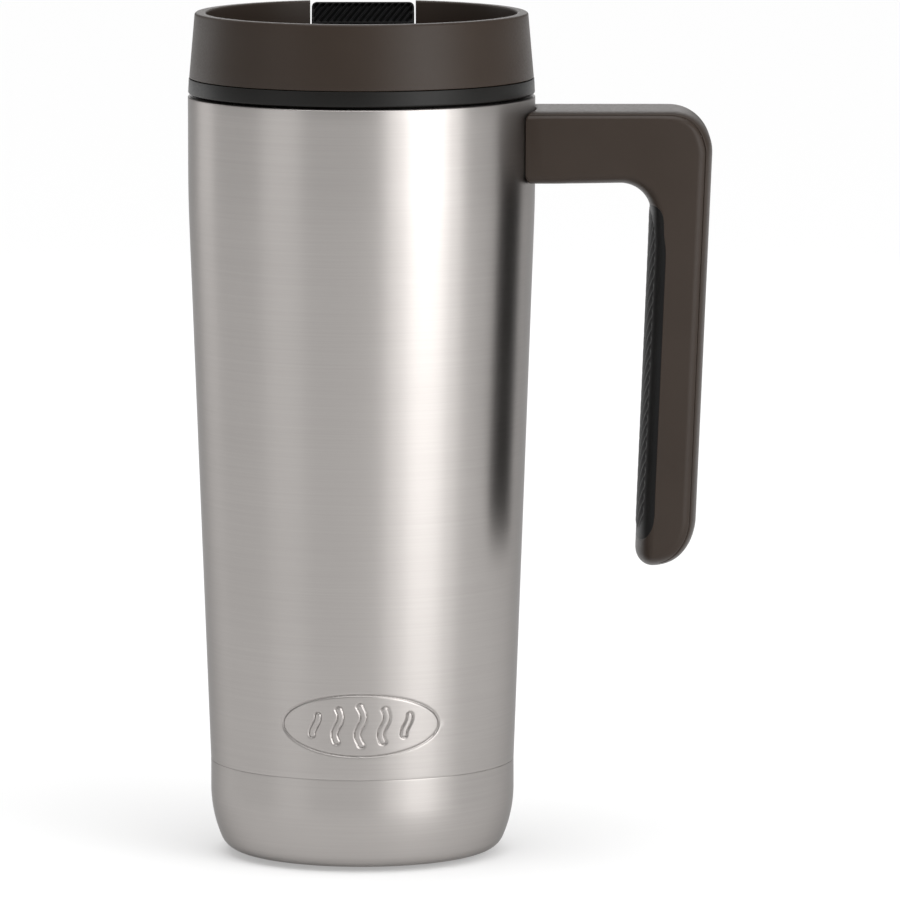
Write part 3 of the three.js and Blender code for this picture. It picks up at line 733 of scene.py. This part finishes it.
def handle_body():
    """The main moulding: the whole skin, sunk flat where the cover and the grip lie on it."""
    rim = skin(AT, side=1)
    half = rim.shape[1] // 2
    plain = skin(AT)
    middle = plain[:, EDGE_COLUMNS : EDGE_COLUMNS + MIDDLE_COLUMNS + 1]
    out = []

    def add(front, inner, back):
        out.append(np.concatenate([front, inner, back]))

    for j in range(len(AT)):
        sides = rim[j, :half], rim[j, half:]
        whole = outer_edges(plain[j], half)
        under_grip = chord(np.concatenate([whole[0], middle[j], whole[1]]), 0.06, NORMAL[j])
        if j <= COVER_END:
            add(sides[0], chord(middle[j], SEAT_DEPTH, NORMAL[j]), sides[1])
        on_grip = GRIP_START <= j <= GRIP_END
        if j >= COVER_END and (not on_grip or j in (GRIP_START, GRIP_END)):
            if j == GRIP_END:
                out.append(under_grip)
            add(whole[0], middle[j], whole[1])
            if j == GRIP_START:
                out.append(under_grip)
        elif on_grip:
            out.append(under_grip)
    grid = trim_root(np.array(out))
    count, columns = grid.shape[:2]
    faces = grid_faces(count, columns)
    last = (count - 1) * columns
    faces += [(j, j + 1, last + j + 1, last + j) for j in range(columns - 1)]
    faces.append(tuple(i * columns for i in range(count)))
    faces.append(tuple(i * columns + columns - 1 for i in range(count - 1, -1, -1)))
    obj = mesh_object("handle_moulding", grid, faces)
    return finish_piece(obj, BROWN, "mug", "handle_body", 40)


def handle_cover():
    stations = np.append(AT[:COVER_END], AT[COVER_END] - 0.12)
    top = skin(stations, side=-1)
    normals = np.stack([np.interp(stations, AT, NORMAL[:, k]) for k in (0, 1)], -1)
    bottom = np.array([chord(row, 0.03, n) for row, n in zip(top, normals)])
    obj = closed_band("handle_outer_strip", trim_root(top), trim_root(bottom))
    return finish_piece(obj, BROWN, "mug", "handle_cover", 40)


RIB_PITCH, RIB_SLOPE, RIB_HEIGHT = 3.2, 0.82, 0.6
RIB_SINK = 0.42  # how far the grooves lie under the smooth border
RIBBED_HALF, RIBBED_END = 12.0, 2.4  # half the ribbed field's width, and the border past its ends
RIBBED_SOFT = 0.18  # how softly the field ends


def handle_grip():
    """The rubber inlay, with slanted ribs that stop short of a smooth border."""
    stations = np.arange(AT[GRIP_START] + 0.05, AT[GRIP_END] - 0.04, 0.24)
    layout = dict(edge_columns=26, middle_columns=120, split=2.0)
    rows = skin(stations, **layout)
    deep = skin(stations, **layout, extra=0.5)
    outward = rows - deep
    outward /= np.linalg.norm(outward, axis=-1, keepdims=True)
    y, z = rows[..., 1], rows[..., 2]
    wave = 0.5 + 0.5 * np.cos(2 * math.pi * (z + RIB_SLOPE * y) / RIB_PITCH)
    ribs = RIB_HEIGHT * wave
    edge = 1 / (1 + np.exp((np.abs(y) - RIBBED_HALF) / RIBBED_SOFT))
    ends = np.minimum(z - (GRIP_FOOT[0] + RIBBED_END), GRIP_TOP[0] - RIBBED_END - z)
    rounding = 5.0  # how far in from its sides the field's corners start to round
    corner = np.clip((np.abs(y) - (RIBBED_HALF - rounding)) / rounding, 0, 1) ** 2 * 3.0
    edge = edge / (1 + np.exp(-(ends - corner) / RIBBED_SOFT))
    rows = rows + outward * ((ribs - RIB_SINK) * edge)[..., None]
    count, columns = rows.shape[:2]
    faces = grid_faces(count, columns)
    faces.append(tuple(range(columns)))
    faces.append(tuple((count - 1) * columns + j for j in range(columns - 1, -1, -1)))
    faces += [
        (i * columns, i * columns + columns - 1, (i + 1) * columns + columns - 1, (i + 1) * columns)
        for i in range(count - 1)
    ]
    obj = mesh_object("handle_rubber", rows, faces)
    return finish_piece(obj, RUBBER, "mug", "handle_grip", 50)


# ---- Lid -----------------------------------------------------------------------------------------
def ring_radius(z):
    return RING_R - RING_TAPER * (z - RING_Z)


def lid_ring():
    low = RING_Z + 0.1
    profile = rounded([
        (RING_INNER_R, low, 0.2),
        (ring_radius(low), low, 0.22),
        (ring_radius(RIM_Z), RIM_Z, 0.6),
        (RING_INNER_R, RIM_Z, 0.5),
    ], steps=7)
    obj = lathe("drinking_ring", refine(profile, 4.0), 256)
    notch = prism("notch", "XZ", rectangle(-NOTCH_HALF, RING_Z + 1, NOTCH_HALF, RIM_Z + 9, 0.6), 25, 50)
    combine(obj, "DIFFERENCE", notch)
    bevel(obj, 0.3, 50, 3)
    return finish_piece(obj, BROWN, "lid", "lid_ring", 40)


DRINK_Y, DRINK_HALF = -27.0, (7.3, 3.0)
VENT_Y, VENT_R = -12.0, 1.2
PLUG_FOOT_Z, PLUG_FOOT_R = 167.5, 35.9
GASKET_SEAT_R, GASKET_SEAT_Z = 35.0, (169.2, 172.0)
FLANGE_R = 41.93
POCKET_HALF, POCKET_FRONT = 13.5, 8.0  # the pocket in the deck that the lever's tail sinks into
TUB_WALL, TUB_BACK, TUB_FLOOR = 1.8, 30.2, 187.1  # the tub round that pocket, inside the lid
EAR_X, EAR_R = (13.2, 16.2), 3.0
EAR_BORE, LEVER_BORE, HUB_R = 1.57, 1.6, 2.5  # radii round the pin
THROUGH_X, THROUGH_Z = (-20, 20), (160, 200)  # a cut this long goes through everything


def lid_body():
    deck_under = DECK_Z - 2.4
    deck_r = RING_INNER_R - 0.3
    flange_z = LIP_Z + 0.7
    hollow_r = PLUG_FOOT_R - 1.9
    outer = rounded([
        (hollow_r, PLUG_FOOT_Z, 0),
        (PLUG_FOOT_R, PLUG_FOOT_Z, 0.2),
        (PLUG_FOOT_R, GASKET_SEAT_Z[0], 0),
        (GASKET_SEAT_R, GASKET_SEAT_Z[0], 0),
        (GASKET_SEAT_R, GASKET_SEAT_Z[1], 0),
        (PLUG_R, GASKET_SEAT_Z[1], 0.2),
        (PLUG_R, LIP_Z + GAP, 0),
        (40, LIP_Z + GAP, 0),
        (40.3, flange_z, 0),
        (FLANGE_R, flange_z, 0.4),
        (41.75, RING_Z - 0.05, 0.12),
        (41.2, RING_Z - 0.05, 0),
        (deck_r, RING_Z - 0.05, 0),
        (deck_r, DECK_Z, 0.5),
        (0, DECK_Z, 0),
    ], steps=6, closed=False)
    inner = np.array([(0, deck_under), (hollow_r - 0.5, deck_under), (hollow_r, deck_under - 0.5)])
    profile = np.concatenate([outer, inner])
    low, high = 172.8, 184.6  # the plug's threaded side
    where = next(i for i, p in enumerate(profile) if abs(p[0] - PLUG_R) < 1e-6 and p[1] > high)
    side = np.stack([np.full(40, PLUG_R), np.linspace(low, high, 40)], -1)
    threaded = np.concatenate([profile[:where], side, profile[where:]])

    def ridge(radius, height, angle):
        plug = (np.abs(radius - PLUG_R) < 0.01) & (height > low - 0.3) & (height < high + 0.2)
        return radius + np.where(plug, thread(height, angle, LID_THREAD_Z, 1.1), 0)

    obj = mesh_from_open_lathe("lid_moulding", threaded, ridge)
    wall, bottom = 1.5, 167.9
    half_a, half_b = DRINK_HALF
    tube = prism("tube", "XY", stadium(0, DRINK_Y, half_a + wall, half_b + wall), bottom, deck_under + 1)
    tube_r = VENT_R + 1.4
    vent = prism("vent", "XY", arc(0, VENT_Y, tube_r, tube_r, 0, 348, 29), bottom, deck_under + 1)
    tub_half = POCKET_HALF + TUB_WALL
    outline = rectangle(-tub_half, POCKET_FRONT - TUB_WALL, tub_half, TUB_BACK, 1.5)
    tub = prism("tub", "XY", outline, TUB_FLOOR, deck_under + 1)
    combine(obj, "UNION", tube, vent, tub)
    for sign in (-1, 1):
        ear_low, ear_high = sorted((sign * EAR_X[0], sign * EAR_X[1]))
        top = arc(PIVOT_Y, PIVOT_Z, EAR_R, EAR_R, 0, 180, 24)
        foot = [(PIVOT_Y - EAR_R, DECK_Z - 0.5), (PIVOT_Y + EAR_R, DECK_Z - 0.5)]
        outline = np.concatenate([top, foot])
        combine(obj, "UNION", bevel(prism("ear", "YZ", outline, ear_low, ear_high), 0.35, 50, 3))
    drink = prism("drink", "XY", stadium(0, DRINK_Y, half_a, half_b, 20), *THROUGH_Z)
    hole = prism("hole", "XY", arc(0, VENT_Y, VENT_R, VENT_R, 0, 345, 23), *THROUGH_Z)
    outline = rectangle(-POCKET_HALF, POCKET_FRONT, POCKET_HALF, 50, 1.2)
    pocket = prism("pocket", "XY", outline, RING_Z, THROUGH_Z[1])
    bore = prism("bore", "YZ", arc(PIVOT_Y, PIVOT_Z, EAR_BORE, EAR_BORE, 0, 348, 29), *THROUGH_X)
    combine(obj, "DIFFERENCE", drink, hole, pocket, bore)
    return finish_piece(obj, BLACK, "lid", "lid_body", 35)


def mesh_from_open_lathe(name, profile, change):
    """A lathe whose profile starts off the axis, touches it and comes back: it closes on itself."""
    columns = 224
    points = turned(profile, full_turn(columns), change)
    on_axis = profile[:, 0] < 1e-6
    faces = []
    count = len(profile)
    for i in range(count):
        k = (i + 1) % count
        if on_axis[i] and on_axis[k]:
            continue
        for j in range(columns):
            n = (j + 1) % columns
            faces.append((i * columns + j, i * columns + n, k * columns + n, k * columns + j))
    return mesh_object(name, points, faces)


def lid_gasket():
    """The seal in the plug's groove, with a lip that faces the liner's shoulder."""
    inner_r, outer_r, lip_r = 35.3, 36.5, 37.0
    low, high, lip = 169.5, 171.7, (170.3, 171.0)
    profile = rounded([
        (inner_r, low, 0.2), (outer_r, low, 0.3), (lip_r, lip[0], 0.3),
        (lip_r, lip[1], 0.3), (outer_r, high, 0.3), (inner_r, high, 0.2),
    ])
    obj = lathe("plug_gasket", profile, 200)
    return finish_piece(obj, SILICONE, "lid_seal", "lid_gasket")


def lever_pin():
    low, high = box_mm("lever_pin")
    radius = (high[2] - low[2]) / 2
    profile = rounded(
        [(0, low[0], 0), (radius, low[0], 0.25), (radius, high[0], 0.25), (0, high[0], 0)], closed=False
    )
    angle = full_turn(48)
    r, x = profile[:, :1], profile[:, 1:]
    points = np.stack(np.broadcast_arrays(x, PIVOT_Y + r * np.cos(angle), PIVOT_Z + r * np.sin(angle)), -1)
    obj = mesh_object("pivot_pin", points, grid_faces(len(profile), len(angle), False, True))
    return finish_piece(obj, PLAIN, "lid", "lever_pin")


# ---- Lever ---------------------------------------------------------------------------------------
PAD_FOOT = np.array((34.5, 199.4))
PAD_TOP = np.array((37.4, 204.6))
PAD_THICK = 1.2
pad_up = (PAD_TOP - PAD_FOOT) / np.linalg.norm(PAD_TOP - PAD_FOOT)
pad_back = np.array((pad_up[1], -pad_up[0]))
LEVER_HALF = 12.6


def lever():
    front, back, under, top = -32.6, 42.5, 195.5, 199.3
    seat_top = PAD_TOP + pad_back * (PAD_THICK + 0.1)
    seat_foot = PAD_FOOT + pad_back * (PAD_THICK + 0.1)
    side = rounded([
        # along the underside to the tail
        (front, under, 0.6), (8, under, 2), (33, 196.4, 4), (36, 197.2, 3), (back, 198.4, 0),
        # up the tail and down the seat of the ribbed pad
        (back, 203.3, 0), (38.5, 204.35, 0.6), (*seat_top, 0), (*seat_foot, 0),
        # forwards along the top
        (33.2, 199.2, 1.0), (PIVOT_Y + 5, top, 6), (PIVOT_Y - 5, top, 6),
        (-30, 198.5, 4), (front, 197.8, 0.7),
    ])
    right = [(10.2, -20, 0), (11, -8, 6), (LEVER_HALF, PIVOT_Y - 6, 5), (LEVER_HALF, 45, 0)]
    left = [(-x, y, radius) for x, y, radius in right[::-1]]
    plan = np.concatenate([arc(0, -26, 10, 6.5, 180, 360, 30), rounded(right + left)])
    obj = prism("rocking_lever", "YZ", side, -LEVER_HALF - 1, LEVER_HALF + 1)
    low = 190.0  # well under the lever
    tail_outline = rectangle(-LEVER_HALF, low, LEVER_HALF, RIM_Z - 0.6, 2.6)
    envelope = rounded([
        (0, low, 0),
        (ring_radius(low) - 0.1, low, 0),
        (ring_radius(RIM_Z) - 0.1, RIM_Z, 0.8),
        (0, RIM_Z, 0),
    ], closed=False)
    combine(
        obj, "INTERSECT",
        prism("plan", "XY", plan, 185, 215),
        prism("tail", "XZ", tail_outline, -60, 60),
        lathe("envelope", refine(envelope, 5, closed=False), 256),
    )
    hub_half = LEVER_HALF - 0.02
    hub = prism("hub", "YZ", arc(PIVOT_Y, PIVOT_Z, HUB_R, HUB_R, 0, 350, 35), -hub_half, hub_half)
    combine(obj, "UNION", hub)
    bevel(obj, 0.35, 40, 3)
    bore = prism("bore", "YZ", arc(PIVOT_Y, PIVOT_Z, LEVER_BORE, LEVER_BORE, 0, 348, 29), *THROUGH_X)
    combine(obj, "DIFFERENCE", bore)
    return finish_piece(obj, BLACK, "drink_lever", "lever", 35)


def thumb_pad():
    """The ribbed face of the tail: a rounded plate with slanted ribs, seen from the drinker's side."""
    half, corner = LEVER_HALF - 0.03, 1.3
    height = np.linalg.norm(PAD_TOP - PAD_FOOT)
    across = np.linspace(-half, half, 190)
    past = np.clip(np.abs(across) - (half - corner), 0, corner)
    top = height - (corner - np.sqrt(corner**2 - past**2))
    share = np.linspace(0, 1, 60)
    up = share[None] * top[:, None]
    x = np.repeat(across[:, None], len(share), 1)
    away = np.minimum(np.minimum(half - np.abs(x), up), top[:, None] - up)
    border = 0.35
    roll = np.clip(1 - away / border, 0, 1)
    surface = -border * (1 - np.sqrt(1 - roll**2)) * 0.8
    slope, pitch = 1.33, 2.15
    wave = 0.5 + 0.5 * np.cos(2 * math.pi * (up - slope * x) / pitch)
    rim, fade = 0.45, 0.3  # the plain rim round the ribs, and the width that they fade in over
    sink, sharpness = 0.9, 1.6
    surface += np.clip((away - rim) / fade, 0, 1) * (wave**sharpness - sink)

    def put(up, out):
        y = PAD_FOOT[0] + pad_up[0] * up - pad_back[0] * out
        z = PAD_FOOT[1] + pad_up[1] * up - pad_back[1] * out
        return np.stack([x, y, z], -1)

    obj = closed_band("thumb_ribs", put(up, surface), put(up, np.full_like(up, -PAD_THICK)))
    return finish_piece(obj, RUBBER, "drink_lever", "thumb_pad", 50)


def stopper(name, node, half_a, half_b, y, lip, stem_r, top_z):
    """A soft plug under the lever: it fills its hole, has a flat lip on the deck and a short stem."""
    low = box_mm(node)[0][2]
    plug = bevel(prism(name, "XY", stadium(0, y, half_a, half_b), low, DECK_Z + 0.3), 0.3, 50)
    outline = stadium(0, y, half_a + lip, half_b + lip)
    disc = bevel(prism("lip", "XY", outline, DECK_Z + 0.18, DECK_Z + 0.72), 0.2, 50)
    stem = prism("stem", "XY", arc(0, y, stem_r, stem_r, 0, 345, 23), DECK_Z + 0.5, top_z)
    combine(plug, "UNION", disc, stem)
    return finish_piece(plug, SILICONE, "drink_lever", node)


# ---- Everything on the frame ---------------------------------------------------------------------
outer_shell()
base_cup()
base_disc()
inner_liner()
handle_body()
handle_cover()
handle_grip()
lid_ring()
lid_body()
lid_gasket()
lever_pin()
lever()
thumb_pad()
plug_a, plug_b = DRINK_HALF[0] - 0.35, DRINK_HALF[1] - 0.35
stopper("drink_plug", "drink_stopper", plug_a, plug_b, DRINK_Y, lip=1.3, stem_r=1.7, top_z=197.3)
# the vent's plug is round: a stadium with next to no flat
plug_a, plug_b = VENT_R - 0.25, VENT_R - 0.251
stopper("vent_plug", "vent_stopper", plug_a, plug_b, VENT_Y, lip=1.5, stem_r=1.0, top_z=196.9)

# out of sight while the lid is on, so they keep their CAD meshes
HIDDEN = {
    PLAIN: ("vacuum_seal", "getter", "handle_bracket", "handle_screw_1", "handle_screw_2"),
    BLACK: ("lid_base_plate",),
}
for material, node in ((m, node) for m, nodes in HIDDEN.items() for node in nodes):
    NODES[node].data.materials.clear()
    NODES[node].data.materials.append(material)


# ---- Studio --------------------------------------------------------------------------------------
def floor():
    mesh = bpy.data.meshes.new("floor")
    reach = 30.0  # metres
    corners = [(-reach, -reach, 0), (reach, -reach, 0), (reach, reach, 0), (-reach, reach, 0)]
    mesh.from_pydata(corners, [], [(0, 1, 2, 3)])
    obj = bpy.data.objects.new("floor", mesh)
    bpy.context.scene.collection.objects.link(obj)
    n = Nodes("studio_floor")
    mesh.materials.append(n.surface(
        Base_Color=(0.62, 0.62, 0.62, 1),
        Roughness=0.9,
        Specular_IOR_Level=0.1,
        Emission_Color=(1, 1, 1, 1),
        Emission_Strength=0.30,
    ))


def area_light(name, azimuth, distance, height, width, tall, power):
    """A soft box that faces the mug. Azimuth is counted from -Y towards +X; lengths are metres."""
    light = bpy.data.lights.new(name, "AREA")
    light.shape = "RECTANGLE"
    light.size = width
    light.size_y = tall
    light.energy = power
    obj = bpy.data.objects.new(name, light)
    a = math.radians(azimuth)
    obj.location = (distance * math.sin(a), -distance * math.cos(a), height)
    obj.rotation_euler = (math.radians(90), 0, a)
    obj.visible_camera = False
    bpy.context.scene.collection.objects.link(obj)


def sun_light(strength, azimuth, elevation, spread):
    light = bpy.data.lights.new("overhead", "SUN")
    light.energy = strength
    light.angle = math.radians(spread)
    obj = bpy.data.objects.new("overhead", light)
    obj.rotation_euler = (math.radians(90 - elevation), 0, math.radians(azimuth))
    bpy.context.scene.collection.objects.link(obj)


def world(strength):
    w = bpy.data.worlds.new("studio")
    bpy.context.scene.world = w
    w.use_nodes = True
    w.node_tree.nodes["Background"].inputs["Color"].default_value = (1, 1, 1, 1)
    w.node_tree.nodes["Background"].inputs["Strength"].default_value = strength


CAMERA_AT = (0.02137, -2.15987, 0.37234)  # metres
CAMERA_DOWN = 7.2314  # degrees that it looks down by
CAMERA_LENS, SENSOR_WIDTH = 358.47, 36


def camera():
    data = bpy.data.cameras.new("camera")
    data.sensor_width = SENSOR_WIDTH
    data.lens = CAMERA_LENS
    data.clip_start = 0.1
    data.clip_end = 100
    obj = bpy.data.objects.new("camera", data)
    obj.location = CAMERA_AT
    obj.rotation_euler = (math.radians(90 - CAMERA_DOWN), 0, 0)
    bpy.context.scene.collection.objects.link(obj)
    bpy.context.scene.camera = obj


floor()
world(0.42)
sun_light(2.2, 0, 84, 60)
# azimuth, distance, height, width, tall, power
area_light("key_box", 43, 0.8, 0.35, 0.8, 0.8, 3.5)
area_light("key_core", 43.5, 0.78, 0.35, 0.34, 0.8, 1.9)
area_light("fill_box", -54, 1.2, 0.45, 0.6, 0.9, 1.0)
area_light("left_box", -125, 1.0, 0.45, 0.4, 0.9, 0.8)
area_light("back_box", 179, 1.4, 0.42, 0.5, 0.4, 0.85)
camera()
bpy.context.scene.view_settings.view_transform = "Standard"
